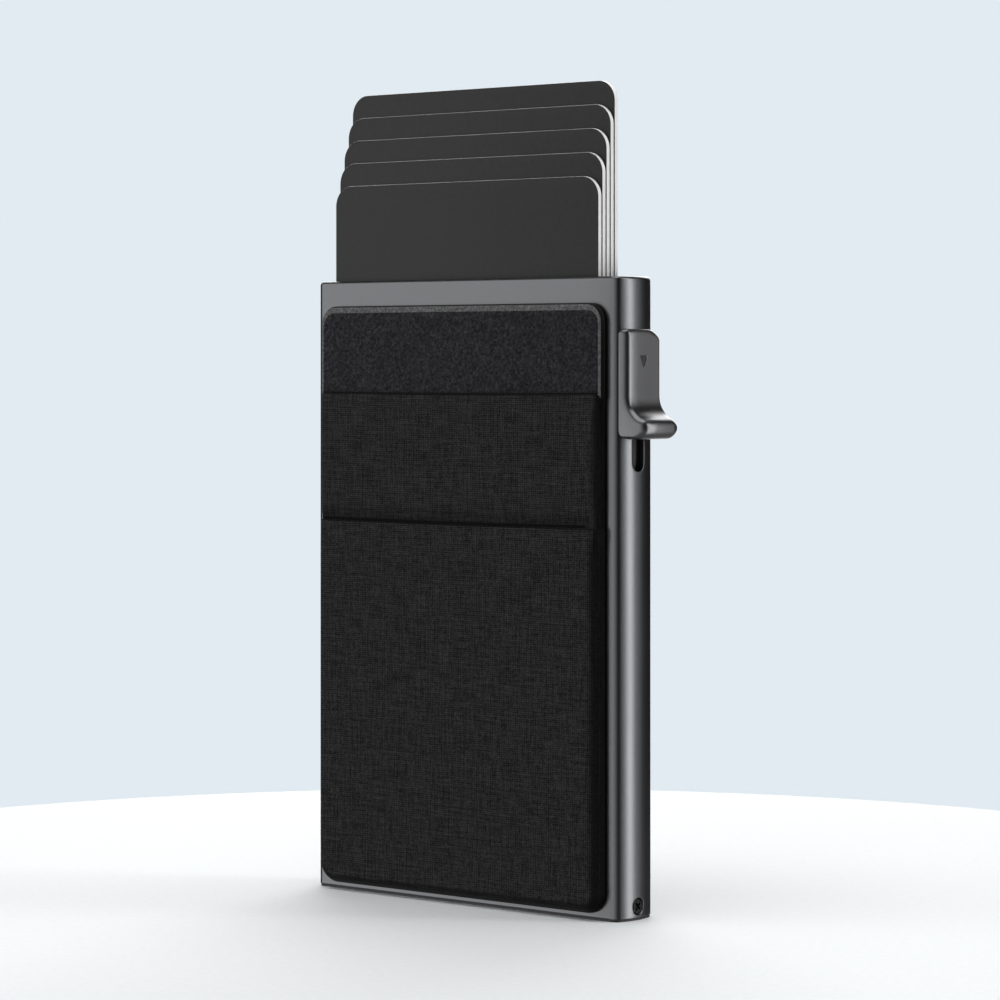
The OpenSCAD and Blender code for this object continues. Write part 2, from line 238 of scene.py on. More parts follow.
def noise(tree, place, scale, detail=3, rough=0.5):
    """A noise texture's value, scale features a metre."""
    node = tree.nodes.new("ShaderNodeTexNoise")
    node.inputs["Scale"].default_value = scale
    node.inputs["Detail"].default_value = detail
    node.inputs["Roughness"].default_value = rough
    tree.links.new(place, node.inputs["Vector"])
    return node.outputs["Fac"]


def ramp(tree, value, stops):
    """A colour ramp over a value; stops are (position, grey or colour)."""
    node = tree.nodes.new("ShaderNodeValToRGB")
    while len(node.color_ramp.elements) < len(stops):
        node.color_ramp.elements.new(0.5)
    for element, (position, colour) in zip(node.color_ramp.elements, stops):
        element.position = position
        colour = (colour,) * 3 if isinstance(colour, (int, float)) else colour
        element.color = (*colour, 1)
    tree.links.new(value, node.inputs["Fac"])
    return node.outputs["Color"]


def math_node(tree, operation, a, b=0.5):
    """A Math node; a and b are outputs or numbers."""
    node = tree.nodes.new("ShaderNodeMath")
    node.operation = operation
    for socket, value in zip(node.inputs, (a, b)):
        if isinstance(value, (int, float)):
            socket.default_value = value
        else:
            tree.links.new(value, socket)
    return node.outputs["Value"]


def weighted(tree, *terms):
    """The sum of several values, each times its weight."""
    parts = [math_node(tree, "MULTIPLY", value, weight) for value, weight in terms]
    total = parts[0]
    for part in parts[1:]:
        total = math_node(tree, "ADD", total, part)
    return total


def zero_to_one(tree, value):
    """A value from -1 to 1 turned into one from 0 to 1."""
    half = math_node(tree, "MULTIPLY_ADD", value, 0.5)
    half.node.inputs[2].default_value = 0.5
    return half


def mix_colours(tree, factor, a, b, blend="MIX"):
    """A Mix node of two colours; each input is an output or a value."""
    node = tree.nodes.new("ShaderNodeMix")
    node.data_type, node.blend_type = "RGBA", blend
    for name, value in (("Factor", factor), ("A", a), ("B", b)):
        if isinstance(value, bpy.types.NodeSocket):
            tree.links.new(value, node.inputs[name])
        else:
            node.inputs[name].default_value = value
    return node.outputs["Result"]


def bump(tree, shader, height, depth_mm, strength=1.0):
    """Bump the shader's normal by a height output, depth_mm deep."""
    node = tree.nodes.new("ShaderNodeBump")
    node.inputs["Strength"].default_value = strength
    node.inputs["Distance"].default_value = depth_mm * MM
    tree.links.new(height, node.inputs["Height"])
    tree.links.new(node.outputs["Normal"], shader.inputs["Normal"])


def scale_range(tree, value, low, high):
    """A value from 0 to 1 turned into one from low to high."""
    node = tree.nodes.new("ShaderNodeMapRange")
    node.inputs["To Min"].default_value = low
    node.inputs["To Max"].default_value = high
    tree.links.new(value, node.inputs["Value"])
    return node.outputs["Result"]


# %% [markdown]
# ### Anodised aluminium
#
# Bead-blasted, dyed and sealed: a metal with a soft, even sheen. The blast leaves pits of
# about a tenth of a millimetre, and handling polishes it in soft patches, so the roughness
# follows a slow noise as well as the fine one.

# %% Anodised aluminium
def anodised(name, colour, rough_low, rough_high):
    """Blasted and dyed metal: fine grain in colour and bump, slow patches in roughness."""
    material, tree, shader, place = new_material(name, Metallic=1.0)
    slow = noise(tree, place, 60, 2)
    fine = noise(tree, place, 6500, 2, 0.6)
    dark = tuple(0.93 * c for c in colour)
    tree.links.new(ramp(tree, fine, [(0.35, dark), (0.65, colour)]), shader.inputs["Base Color"])
    tree.links.new(scale_range(tree, slow, rough_low, rough_high), shader.inputs["Roughness"])
    bump(tree, shader, fine, 0.004, 0.5)
    return material


case_grey = anodised("anodised_grey", (0.125, 0.127, 0.132), 0.26, 0.31)
slide_grey = anodised("slide_grey", (0.136, 0.137, 0.141), 0.28, 0.34)
slide_mark = anodised("slide_mark", (0.045, 0.045, 0.046), 0.4, 0.5)

# %% [markdown]
# ### Small metal parts and plastics
#
# Rolled strip shows fine lines along its length, turned pins show rings, and moulded nylon
# has the fine pits of a spark-eroded mould.

# %% Steel, black screw and nylon
def steel(name, colour, grain, rough):
    """Bare metal with lines; grain is how fine they are on each axis."""
    material, tree, shader, place = new_material(name, Metallic=1.0)
    lines = noise(tree, stretched(tree, place, grain), 1000, 3)
    soft = tuple(0.8 * c for c in colour)
    tree.links.new(ramp(tree, lines, [(0.3, soft), (0.7, colour)]), shader.inputs["Base Color"])
    tree.links.new(scale_range(tree, lines, rough - 0.06, rough + 0.1), shader.inputs["Roughness"])
    bump(tree, shader, lines, 0.003, 0.4)
    return material


def nylon(name, colour, rough):
    """Moulded plastic with fine pits."""
    material, tree, shader, place = new_material(name, Specular_IOR_Level=0.4)
    pits = noise(tree, place, 5200, 3, 0.6)
    lit = tuple(1.5 * c for c in colour)
    tree.links.new(ramp(tree, pits, [(0.35, colour), (0.7, lit)]), shader.inputs["Base Color"])
    tree.links.new(scale_range(tree, pits, rough - 0.05, rough + 0.08), shader.inputs["Roughness"])
    bump(tree, shader, pits, 0.01, 0.5)
    return material


strip_steel = steel("strip_steel", (0.55, 0.56, 0.58), (0.4, 1, 6), 0.28)
turned_steel = steel("turned_steel", (0.62, 0.62, 0.64), (1, 8, 1), 0.22)
black_screw = steel("black_screw", (0.028, 0.028, 0.03), (2, 2, 2), 0.3)
black_nylon = nylon("black_nylon", (0.012, 0.012, 0.013), 0.5)

# %% [markdown]
# ### Felt, tape and suede
#
# These scatter light at their fibres, so they get a sheen on top of a very rough base. The
# suede is black with a cold tint, and its nap shows as a speckle of about a third of a
# millimetre.

# %% Fibrous finishes
def nap(name, dark, light, speckle, depth, sheen):
    """Short fibres: a speckle of two grains from dark to light, and a sheen."""
    material, tree, shader, place = new_material(
        name, Roughness=0.92, Specular_IOR_Level=0.14, Sheen_Weight=sheen, Sheen_Roughness=0.5)
    coarse = noise(tree, place, speckle, 4, 0.7)
    fine = noise(tree, place, 3 * speckle, 2, 0.6)
    both = weighted(tree, (coarse, 0.65), (fine, 0.35))
    between = tuple(0.4 * (a + b) for a, b in zip(dark, light))
    colours = ramp(tree, both, [(0.39, dark), (0.52, between), (0.64, light)])
    tree.links.new(colours, shader.inputs["Base Color"])
    bump(tree, shader, both, depth, 0.8)
    return material


felt = nap("felt", (0.02, 0.02, 0.022), (0.09, 0.09, 0.1), 2500, 0.12, 0.25)
suede = nap("suede", (0.0005, 0.0005, 0.001), (0.042, 0.042, 0.049), 2300, 0.16, 0.06)
rim_grey = nap("rim_grey", (0.04, 0.04, 0.042), (0.19, 0.19, 0.195), 3200, 0.06, 0.10)


def faces_front(tree, limit):
    """1 where a piece faces front or back: its normal's Y is past a limit."""
    upright = math_node(tree, "ABSOLUTE", coordinate(tree, "Normal", "Y"))
    return math_node(tree, "GREATER_THAN", upright, limit)


def paint_gap_shade_on_sides(material, limit):
    """Black where a piece faces sideways: painted shade for the dark gap round the pad's edge."""
    tree = material.node_tree
    base = tree.nodes["Principled BSDF"].inputs["Base Color"]
    colour = base.links[0].from_socket
    black = (0.002, 0.002, 0.002, 1)
    tree.links.new(mix_colours(tree, faces_front(tree, limit), black, colour), base)


# Painted shade: the grey foam band turns black on its sides, for the gap round the pad.
paint_gap_shade_on_sides(rim_grey, 0.8)
tape = nap("tape", (0.02, 0.02, 0.02), (0.05, 0.05, 0.05), 1800, 0.05, 0.0)

# %% [markdown]
# ### Stretch fabric
#
# A fine black weave of elastic and polyester. The threads are about a third of a millimetre
# apart. Seen from reading distance they give a faint grid with brighter and darker threads,
# so the pattern is two wave textures for the threads and two stretched noises for how one
# thread differs from the next. Just above a pocket's mouth the lip keeps the light out, which
# is painted in by height.

# %% Weave
def shaded(tree, colour, *shades):
    """A colour multiplied by one grey after another."""
    for shade in shades:
        colour = mix_colours(tree, 1, colour, shade, "MULTIPLY")
    return colour


def under_lip(material, mouth_mm, bow_mm, half_mm, black, soft, stop):
    """Dark just above a pocket's mouth, where its lip keeps the light out.

    The mouth's height is mouth + bow*(x/half)^2. It is black for the first black millimetres,
    then clears over soft, and ends at stop of the way to the right-hand side."""
    tree = material.node_tree
    base = tree.nodes["Principled BSDF"].inputs["Base Color"]
    place = math_node(tree, "MULTIPLY", coordinate(tree, "Object", "X"), 1 / half_mm / MM)
    bow = math_node(tree, "MULTIPLY", math_node(tree, "MULTIPLY", place, place), bow_mm)
    height = math_node(tree, "MULTIPLY", coordinate(tree, "Object", "Z"), 1 / MM)
    above = math_node(tree, "SUBTRACT", math_node(tree, "SUBTRACT", height, bow), mouth_mm)
    reach = black + soft
    share = math_node(tree, "MULTIPLY", above, 1 / reach)
    edge = black / reach
    dark = ramp(tree, share, [(0, 0.01), (edge * 0.85, 0.01), (edge, 0.55), (1, 1.0)])
    clear = ramp(tree, place, [(stop, 0.0), (stop + 0.05, 1.0)])
    lit = math_node(tree, "MAXIMUM", dark, clear)
    tree.links.new(shaded(tree, base.links[0].from_socket, lit), base)


def thread_lines(tree, place, direction, pitch_mm):
    """A wave texture of lines across one axis, pitch_mm apart."""
    node = tree.nodes.new("ShaderNodeTexWave")
    node.bands_direction = direction
    node.inputs["Scale"].default_value = 1000 / pitch_mm / 3.18
    node.inputs["Distortion"].default_value = 0.6
    node.inputs["Detail"].default_value = 2
    node.inputs["Detail Scale"].default_value = 2
    tree.links.new(place, node.inputs["Vector"])
    return node.outputs["Fac"]


def stretch_weave(name, dark=(0.0015, 0.0015, 0.0015), light=(0.043, 0.043, 0.0435)):
    """Crossed threads, streaks and fuzz; painted shade where the cloth faces down, up or right."""
    material, tree, shader, place = new_material(
        name, Roughness=0.9, Specular_IOR_Level=0.14, Sheen_Weight=0.04, Sheen_Roughness=0.4
    )
    warp = thread_lines(tree, place, "X", 0.36)
    weft = thread_lines(tree, place, "Z", 0.33)
    threads = math_node(tree, "MULTIPLY", warp, weft)
    tall = noise(tree, stretched(tree, place, (2.6, 2.6, 0.22)), 1000, 3)
    wide = noise(tree, stretched(tree, place, (0.22, 2.6, 2.6)), 1000, 3)
    streaks = math_node(tree, "MULTIPLY", math_node(tree, "ADD", tall, wide), 0.5)
    fuzz = noise(tree, place, 3600, 3, 0.7)
    mixed = weighted(tree, (streaks, 0.46), (fuzz, 0.40), (threads, 0.15))
    threads_colour = ramp(tree, mixed, [(0.38, dark), (0.66, light)])
    # Painted shade: darker where the cloth tilts down, much darker where it tilts up, and darker
    # where it turns to face right round the pad's edge.
    tilt = zero_to_one(tree, coordinate(tree, "Normal", "Z"))
    turned = zero_to_one(tree, coordinate(tree, "Normal", "X"))
    painted_tilt_shade = ramp(tree, tilt, [(0.40, 0.3), (0.48, 1.0), (0.62, 1.0), (0.72, 0.03)])
    painted_wrap_shade = ramp(tree, turned, [(0.54, 1.0), (0.68, 0.2)])
    tree.links.new(shaded(tree, threads_colour, painted_tilt_shade, painted_wrap_shade), shader.inputs["Base Color"])
    height = math_node(tree, "ADD", threads, math_node(tree, "MULTIPLY", fuzz, 0.5))
    bump(tree, shader, height, 0.05, 0.7)
    return material


weave = stretch_weave("stretch_weave")
# The inner cloth is a shaded copy of the weave with painted shade above the outer mouth. The suede
# gets painted shade above the inner mouth.
weave_lip_shaded = stretch_weave("stretch_weave_lip_shaded")
outer_mouth, inner_mouth, mouth_half = 59.0, 79.24, 28.8
under_lip(weave_lip_shaded, outer_mouth, 0.2, mouth_half, 0.6, 1.8, 0.88)
under_lip(suede, inner_mouth, 0.16, mouth_half, 0.34, 0.5, 1.0)

# %% [markdown]
# ### Cards
#
# A card is three sheets of PVC: a white core between two black printed faces. So its colour
# follows the surface's own direction: black where it faces front or back, white on the cut
# edge. The print has a faint orange-peel from the laminating plate.

# %% Card material
def card_plastic(name):
    """Black print on the faces, white core on the cut edge."""
    material, tree, shader, place = new_material(name, Specular_IOR_Level=0.26)
    peel = noise(tree, place, 1400, 2)
    black = ramp(tree, peel, [(0.3, (0.009, 0.009, 0.0095)), (0.7, (0.013, 0.013, 0.0135))])
    white = ramp(tree, noise(tree, place, 3000, 2), [(0.3, 0.92), (0.7, 0.97)])
    colour = mix_colours(tree, faces_front(tree, 0.74), white, black)
    tree.links.new(colour, shader.inputs["Base Color"])
    tree.links.new(scale_range(tree, peel, 0.42, 0.5), shader.inputs["Roughness"])
    bump(tree, shader, peel, 0.006, 0.4)
    return material


card_black = card_plastic("card_plastic")

# %% [markdown]
# ## The case
#
# The real case is sawn from an extrusion, its rims are eased, and a slot and two countersinks
# are milled in its curved sides. A boolean would cut them, but leaves long thin triangles
# that shade badly. So the wall is one grid instead: around the section in one direction, and
# up the outside, over the rim and down the inside in the other. A rectangle of cells is left
# out where a hole goes, and a sleeve fills it: rings that change from the rectangle to the
# hole's outline, turn in over an eased edge and go through the wall.

# %% Section of the case
def section_lines(side_y):
    """(points, outward directions) of the section, anticlockwise from the right side's foot.

    Each arc's points are centre + radius*(cos a, sin a); a flat's points are spaced evenly.
    side_y are the y values wanted on a curved side."""
    spread = math.degrees(math.atan2(corner_y, side_r - side_bulge))
    side_angle = np.arcsin(side_y / side_r)
    points, outward = [], []

    def add(centre, radius, angles):
        out = np.stack([np.cos(angles), np.sin(angles)], 1)
        points.append(np.array(centre) + radius * out)
        outward.append(out)

    def add_flat(start, end, y):
        x = np.linspace(start, end, flat_points + 2)[1:-1]
        points.append(np.stack([x, np.full_like(x, y)], 1))
        outward.append(np.tile([0, math.copysign(1, y)], (len(x), 1)))

    add((side_mid, 0), side_r, side_angle)
    add((flat_x, corner_y), edge_r, arc(spread, 90, corner_points)[1:])
    add_flat(flat_x, -flat_x, case_t / 2)
    add((-flat_x, corner_y), edge_r, arc(90, 180 - spread, corner_points)[:-1])
    add((-side_mid, 0), side_r, math.pi + side_angle)
    add((-flat_x, -corner_y), edge_r, arc(180 + spread, 270, corner_points)[1:])
    add_flat(-flat_x, flat_x, -case_t / 2)
    add((flat_x, -corner_y), edge_r, arc(270, 360 - spread, corner_points)[:-1])
    return np.concatenate(points), np.concatenate(outward)


edge_y = side_r * math.sin(math.atan2(corner_y, side_r - side_bulge))
corner_points, flat_points, margin_points, hole_points = 9, 12, 6, 17
hole_half = 2.0
side_y = np.concatenate([
    np.linspace(-edge_y, -hole_half, margin_points + 1)[:-1],
    np.linspace(-hole_half, hole_half, hole_points),
    np.linspace(hole_half, edge_y, margin_points + 1)[1:],
])
section, outward = section_lines(side_y)
hole_cols = margin_points + np.arange(hole_points - 1)
left_start = len(side_y) + 2 * corner_points + flat_points
print(f"section of {len(section)} points")

# %% The holes: what is cut in each side, and the rows that the cuts need
screw_low, screw_high = box_mm("cap_screw_right")
screw_z = 0.5 * (screw_low[2] + screw_high[2])
slide_low, slide_high = box_mm("thumb_slide")
slot_half = 1.4
slot_foot = slide_low[2] - 4.9
slot_head = slot_foot + 14.96
sink_r = 1.325
sink_in = 0.705
slot_rows = (slot_foot - 1.2, slot_head + 1.2)
screw_rows = (screw_z - 1.6, screw_z + 1.6)
print(f"slot from {slot_foot:.1f} to {slot_head:.1f}, screws at {screw_z:.2f}")

# %% Wall loop: up the outside, over the rim, down the inside, under the foot
rim_out, rim_in, foot_out, foot_in = 0.55, 0.24, 0.2, 0.12
rim_points = 5
outer_z = np.concatenate([
    [case_foot + foot_out],
    np.linspace(*screw_rows, 13),
    np.linspace(screw_rows[1] + 2.5, slot_rows[0] - 2.5, 20),
    np.linspace(*slot_rows, 41),
    np.linspace(slot_rows[1] + 2, case_top - rim_out, 5),
])


def wall_loop():
    """(depth, z) of the wall's loop; depth 0 is the outside and wall the inside.

    Each of the four edges is a quarter circle, the outer two larger than the inner two."""
    turn = arc(0, 90, rim_points)[1:]
    rise, sink = np.sin(turn), 1 - np.cos(turn)
    depth = [np.zeros(len(outer_z)), rim_out * sink, wall - rim_in * sink[::-1],
             np.full(len(outer_z), wall), wall - foot_in * sink, foot_out * sink[::-1]]
    z = [outer_z, case_top - rim_out * (1 - rise), case_top - rim_in * (1 - rise[::-1]),
         outer_z[::-1], case_foot + foot_in * (1 - rise), case_foot + foot_out * (1 - rise[::-1])]
    return np.concatenate(depth), np.concatenate(z)


loop_depth, loop_z = wall_loop()
rows, cols = len(loop_z), len(section)
wall_points = np.empty((rows, cols, 3))
wall_points[..., :2] = section[None] - loop_depth[:, None, None] * outward[None]
wall_points[..., 2] = loop_z[:, None]
print(f"wall grid {rows} x {cols}")

# %% Sleeves: from a rectangle of the grid, through the wall, to the same rectangle inside
def side_point(side, y, z, depth):
    """A point depth inside a curved side, at y and z: x = mid + sqrt((R - depth)^2 - y^2)."""
    x = side * (side_mid + np.sqrt((side_r - depth) ** 2 - y**2))
    return np.stack([x, y, np.broadcast_to(z, y.shape)], -1)


def sleeve(side, z_rows, foot, head, rings):
    """Rings from the rectangle hole_half wide over z_rows to an outline with round ends.

    The outline is all points at a radius from the upright line between foot and head. rings
    are (radius, depth); the first and last ring are the rectangle itself, outside and inside."""
    y, z = rectangle_rim(side_y[margin_points:margin_points + hole_points], z_rows)
    middle = np.clip(z, foot, head)
    away = np.stack([y, z - middle], -1)
    away /= np.linalg.norm(away, axis=1)[:, None]
    out = [side_point(side, y, z, 0.0)]
    first, last = rings[0], rings[-1]
    for part in (0.35, 0.7):
        ring_y = (1 - part) * y + part * first[0] * away[:, 0]
        ring_z = (1 - part) * z + part * (middle + first[0] * away[:, 1])
        out.append(side_point(side, ring_y, ring_z, 0.0))
    for radius, depth in rings:
        out.append(side_point(side, radius * away[:, 0], middle + radius * away[:, 1], depth))
    inner_y = y * (side_r - wall) / side_r
    ring_y = 0.5 * inner_y + 0.5 * last[0] * away[:, 0]
    ring_z = 0.5 * z + 0.5 * (middle + last[0] * away[:, 1])
    out.append(side_point(side, ring_y, ring_z, wall))
    out.append(side_point(side, inner_y, z, wall))
    return np.array(out), grid_faces(len(out), len(y), wrap_cols=True)


def eased(radius_out, radius_in, ease=0.14):
    """(radius, depth) rings that round a hole's edge outside and go straight or tapered inside."""
    turn = arc(0, 90, 4)
    over = [(radius_out + ease * (1 - math.sin(t)), ease * (1 - math.cos(t))) for t in turn]
    return over + [(radius_in, wall - 0.05), (radius_in + 0.05, wall)]


def rows_between(limits):
    """The outside rows of the wall grid from one height to another."""
    return np.flatnonzero((outer_z >= limits[0] - 1e-6) & (outer_z <= limits[1] + 1e-6))


cut = np.zeros((rows, cols), bool)
case_parts = []
for side, start, limits, foot, head, rings in (
    (1, 0, slot_rows, slot_foot + slot_half, slot_head - slot_half, eased(slot_half, slot_half)),
    (1, 0, screw_rows, screw_z, screw_z, eased(sink_r, sink_in, 0.06)),
    (-1, left_start, screw_rows, screw_z, screw_z, eased(sink_r, sink_in, 0.06)),
):
    picked = rows_between(limits)
    inside_rows = 2 * (len(outer_z) + rim_points) - 1 - picked
    for rows_cut in (picked[:-1], inside_rows[1:]):
        cut[np.ix_(rows_cut, start + hole_cols)] = True
    case_parts.append(sleeve(side, outer_z[picked], foot, head, rings))

wall_faces = grid_faces(rows, cols, wrap_rows=True, wrap_cols=True)
case_parts.append((wall_points, wall_faces[~cut.reshape(-1)]))
points, faces = join_parts(case_parts)
case_shell = make_piece("case_shell", points, faces, "case_body", case_grey, 40)
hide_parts("case")

# %% [markdown]
# ## Cap screws
#
# The two countersunk screws that hold the bottom cap are turned and stamped. A head is a
# surface of revolution until the cross begins, so one polar grid makes the whole screw: its
# rings run up the shank, over the head and then take on the outline of the cross while they
# go down into it.

# %% Cap screws
def cross_radius(angle, length, width, power=14):
    """Radius of a cross at an angle: one bar's end and side, folded eight times.

    The end is at length/cos and the side at width/sin; a power mean joins them with a soft
    corner."""
    folded = np.abs((angle + math.pi / 4) % (math.pi / 2) - math.pi / 4)
    near = (np.cos(folded) / length) ** power + (np.sin(folded) / width) ** power
    return near ** (-1 / power)


def cap_screw(side):
    """Rings of (radius, distance in from the head) up the shank and head, then the cross."""
    count = 96
    angle = np.linspace(0, TAU, count, endpoint=False)
    turns = [(0.42 + 0.1 * (i % 2), d) for i, d in enumerate(np.linspace(4.1, 0.75, 17))]
    head = [(0.5, 0.62), (1.04, 0.06), (1.08, 0.035), (1.06, 0.01), (1.02, 0), (0.9, 0)]
    cross = cross_radius(angle - math.pi / 4, 0.74, 0.17)
    sunk = ((1.07, 0), (1.02, 0.01), (1.0, 0.05), (0.86, 0.34), (0.5, 0.4), (0, 0.42))
    rings = [(np.full(count, r), d) for r, d in [(0, 4.2), (0.3, 4.2), *turns, *head]]
    rings += [(grow * cross, down) for grow, down in sunk]
    radius = np.array([r for r, _ in rings])
    depth = np.repeat([[d] for _, d in rings], count, 1)
    points = np.stack([side * (screw_high[0] - depth), radius * np.cos(angle),
                       screw_z + radius * np.sin(angle)], -1)
    return points, grid_faces(len(rings), count, wrap_cols=True)


for side, name in ((-1, "left"), (1, "right")):
    points, faces = cap_screw(side)
    screw = make_piece(f"screw_{name}", points, faces, "case_body",
                       black_screw, 30)
    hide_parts(f"cap_screw_{name}")

# %% [markdown]
# ## Thumb slide
#
# The real slide is milled from a small aluminium block: a flat pad, a deep concave sweep and
# a ledge for the thumb. Its side view is a polygon with six rounded corners, and the
# biggest, hollow one is the sweep. That outline is carried across the slide's width. The
# near end has its edge eased and crowned, and the far end is rounded off more.

# %% Outline with rounded corners
def rounded(corners, radii, steps=10):
    """A closed polygon whose corners are arcs; a hollow corner works the same way.

    The arc touches both sides at radius*tan(turn/2) from the corner, where turn is the change
    of direction there, and its centre lies on the corner's bisector."""
    corners = np.asarray(corners, float)
    out = []
    for i, radius in enumerate(radii):
        here = corners[i]
        back = corners[i - 1] - here
        ahead = corners[(i + 1) % len(corners)] - here
        back, ahead = back / np.linalg.norm(back), ahead / np.linalg.norm(ahead)
        half = 0.5 * math.acos(np.clip(back @ ahead, -1, 1))
        centre = here + (back + ahead) / np.linalg.norm(back + ahead) * radius / math.sin(half)
        start = here + back * radius / math.tan(half) - centre
        end = here + ahead * radius / math.tan(half) - centre
        a0, a1 = math.atan2(start[1], start[0]), math.atan2(end[1], end[0])
        turn = (a1 - a0 + math.pi) % TAU - math.pi
        angle = a0 + turn * np.linspace(0, 1, steps + 1)
        out.append(centre + radius * np.stack([np.cos(angle), np.sin(angle)], 1))
    return out


def outward_of(loop):
    """Unit directions that point out of an anticlockwise loop: its tangent turned clockwise."""
    tangent = np.roll(loop, -1, 0) - np.roll(loop, 1, 0)
    normal = np.stack([tangent[:, 1], -tangent[:, 0]], 1)
    return normal / np.linalg.norm(normal, axis=1)[:, None]


pad_face = 32.3
ledge_x = slide_high[0]
slide_foot, slide_head = slide_low[2], slide_high[2]
slide_half = 0.5 * (slide_high[1] - slide_low[1])
ledge_t, ledge_fall = 3.3, 0.6
gap = 0.15
inner_end = side_mid + math.sqrt((side_r + gap) ** 2 - slide_half**2)
arrow_top = slide_head - 4.0
sweep_r = 3.5
arcs = rounded(
    [(inner_end, slide_foot), (ledge_x, slide_foot), (ledge_x, slide_foot + ledge_t - ledge_fall),
     (pad_face, slide_foot + ledge_t + 1), (pad_face, slide_head), (inner_end, slide_head)],
    [1.5, 1.6, 1.4, sweep_r, 1.0, 0.7],
)
pad_rows = np.concatenate([
    np.linspace(arcs[3][-1, 1], arrow_top - 2.2, 6)[1:],
    np.linspace(arrow_top - 2.2, arrow_top + 0.4, 9)[1:],
    np.linspace(arrow_top + 0.4, arcs[4][0, 1], 7)[1:-1],
])
pad_run = np.stack([np.full_like(pad_rows, pad_face), pad_rows], 1)
foot_run, nose_run, back_run = (
    np.linspace(arcs[before][-1], arcs[after][0], count)[1:-1]
    for before, after, count in ((0, 1, 7), (1, 2, 8), (5, 0, 22))
)
below_pad = [arcs[0], foot_run, arcs[1], nose_run, arcs[2], arcs[3]]
side_view = np.concatenate([*below_pad, pad_run, arcs[4], arcs[5], back_run])
side_out = outward_of(side_view)
pad_start = sum(map(len, below_pad))
print(f"slide outline of {len(side_view)} points, pad at {pad_face:.1f}, ledge to {ledge_x:.1f}")

# %% Carry the outline across the slide
near_round, near_deep, ease = 1.0, 0.8, 0.4
crown_width, crown_depth, lean = 3.0, 0.25, 0.02
near_turn, far_turn = arc(90, 0, 14), arc(0, 90, 6)
arrow_half = 1.2
across = np.concatenate([
    -slide_half + near_round * (1 - np.sin(near_turn)),
    np.linspace(-slide_half + near_round, -arrow_half, 14)[1:],
    np.linspace(-arrow_half, arrow_half, 9)[1:],
    np.linspace(arrow_half, slide_half - ease, 13)[1:],
    slide_half - ease * (1 - np.sin(far_turn[1:])),
])


def edge_inset(y, near_width, near_depth, far):
    """How far an eased edge has sunk at y: depth*(1 - sqrt(1 - t^2)), t running over its width."""
    width, depth = np.where(y < 0, near_width, far), np.where(y < 0, near_depth, far)
    t = np.clip((np.abs(y) - slide_half + width) / width, 0, 1)
    return depth * (1 - np.sqrt(1 - t**2))


crown_share = np.clip((crown_width - across - slide_half) / crown_width, 0, 1)
face_inset = edge_inset(across, near_round, near_deep, ease) + crown_depth * crown_share**2
face_inset = face_inset + lean * (slide_half - across)
rim_inset = edge_inset(across, 0.9, 0.6, ease)


def smooth(x):
    """0 below 0, 1 above 1, and 3x^2 - 2x^3 between."""
    x = np.clip(x, 0, 1)
    return x * x * (3 - 2 * x)


def far_round(y, width, depth):
    """How far a corner of the far end has dropped at y: depth*(1 - sqrt(1 - t^2))."""
    t = np.clip((y - (slide_half - width)) / (1.04 * width), 0, 1)
    return depth * (1 - np.sqrt(1 - t**2))


def slide_surface():
    """The side view inset by its eased edges, its back bent to the case and its far end rounded.

    The face sinks by face_inset, the top and bottom by rim_inset, and the ledge's front is a
    little crowned along the slide. The far corners drop by a quarter ellipse."""
    proud = np.clip((side_view[:, 0] - inner_end) / (pad_face - inner_end), 0, 1)
    crown = 0.25 * np.clip((2 - across) / 5, 0, 2) ** 2
    on_front = smooth((side_view[:, 0] - pad_face - 1) / 2)
    x = side_view[:, 0] - face_inset[:, None] * proud - crown[:, None] * on_front
    z = side_view[:, 1] - rim_inset[:, None] * side_out[:, 1]
    y = np.broadcast_to(across[:, None], x.shape)
    back = side_mid + np.sqrt((side_r + gap) ** 2 - across**2)[:, None]
    thin = (pad_face - back) / (pad_face - inner_end)
    x = np.where(x < pad_face, pad_face - (pad_face - x) * thin, x)
    middle = slide_foot + 0.5 * ledge_t
    drop = far_round(across, 1.5, 1.5)[:, None]
    head_drop = far_round(across, 2.7, 1.7)[:, None]
    on_ledge = smooth((x - pad_face - 0.8) / 2)
    z = z - head_drop * smooth((z - slide_head + 3.2) / 3.2)
    z = z - 0.9 * drop * on_ledge * smooth((z - middle) / 1.6)
    z = z + 0.9 * drop * smooth((middle - z) / 1.6)
    x = x - 0.5 * drop * smooth((x - ledge_x + 1.2) / 1.2)
    return np.stack([x, y, z], -1)


def face_at(y):
    """The thumb face's x at a place across it, by the same sums as the whole slide."""
    back = side_mid + np.sqrt((side_r + gap) ** 2 - y**2)
    return pad_face - lean * (slide_half - y) * (pad_face - back) / (pad_face - inner_end)


surface = slide_surface()
rows, cols = surface.shape[:2]
slide_faces = grid_faces(rows, cols, wrap_cols=True)
keep_faces = np.ones((rows - 1, cols), bool)
arrow_cols = np.flatnonzero(np.abs(across) <= arrow_half + 1e-6)
arrow_rows = pad_start + 4 + np.arange(9)
keep_faces[np.ix_(arrow_cols[:-1], arrow_rows[:-1])] = False
print(f"slide grid {rows} x {cols}, arrow rows {side_view[arrow_rows[[0, -1]], 1].round(2)}")

